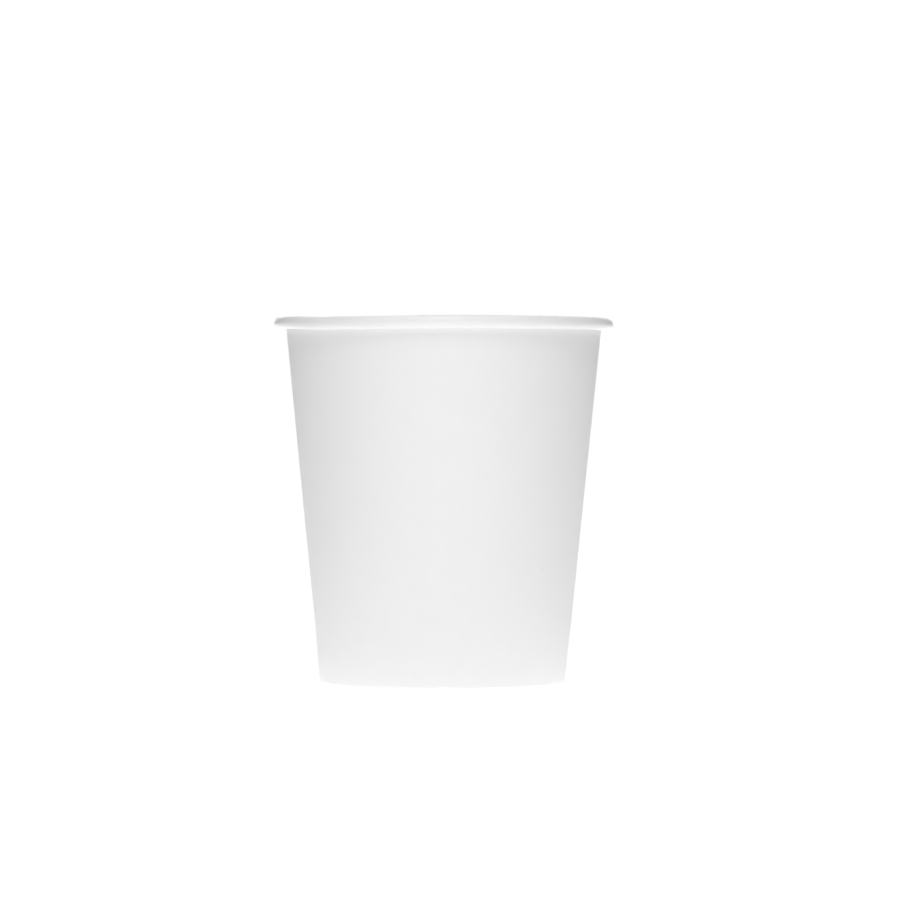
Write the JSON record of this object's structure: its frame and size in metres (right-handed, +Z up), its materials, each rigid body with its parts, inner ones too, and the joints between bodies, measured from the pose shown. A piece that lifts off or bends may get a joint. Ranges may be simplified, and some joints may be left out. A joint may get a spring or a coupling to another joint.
{
  "type": "paper cup",
  "caption": "Plain white paper coffee cup: tapered round wall with a lapped side seam, a rolled rim, a folded foot and a floor raised above the table.",
  "frame": {"origin": "centre of the foot, on the cup's axis, at the level that the cup stands on", "axes": "+Z up along the cup's axis to the mouth; -Y is the side seen in the picture; the side seam is at the back, 120 degrees from +X towards +Y"},
  "size_m": [0.073, 0.073, 0.0785],
  "materials": {
    "sidewall_card": "matte white card outside, thin satin coating inside",
    "base_card": "thin satin coating above, matte white card below"
  },
  "bodies": {
    "root": {"sidewall": "sidewall_card", "base_disc": "base_card"}
  },
  "joints": []
}
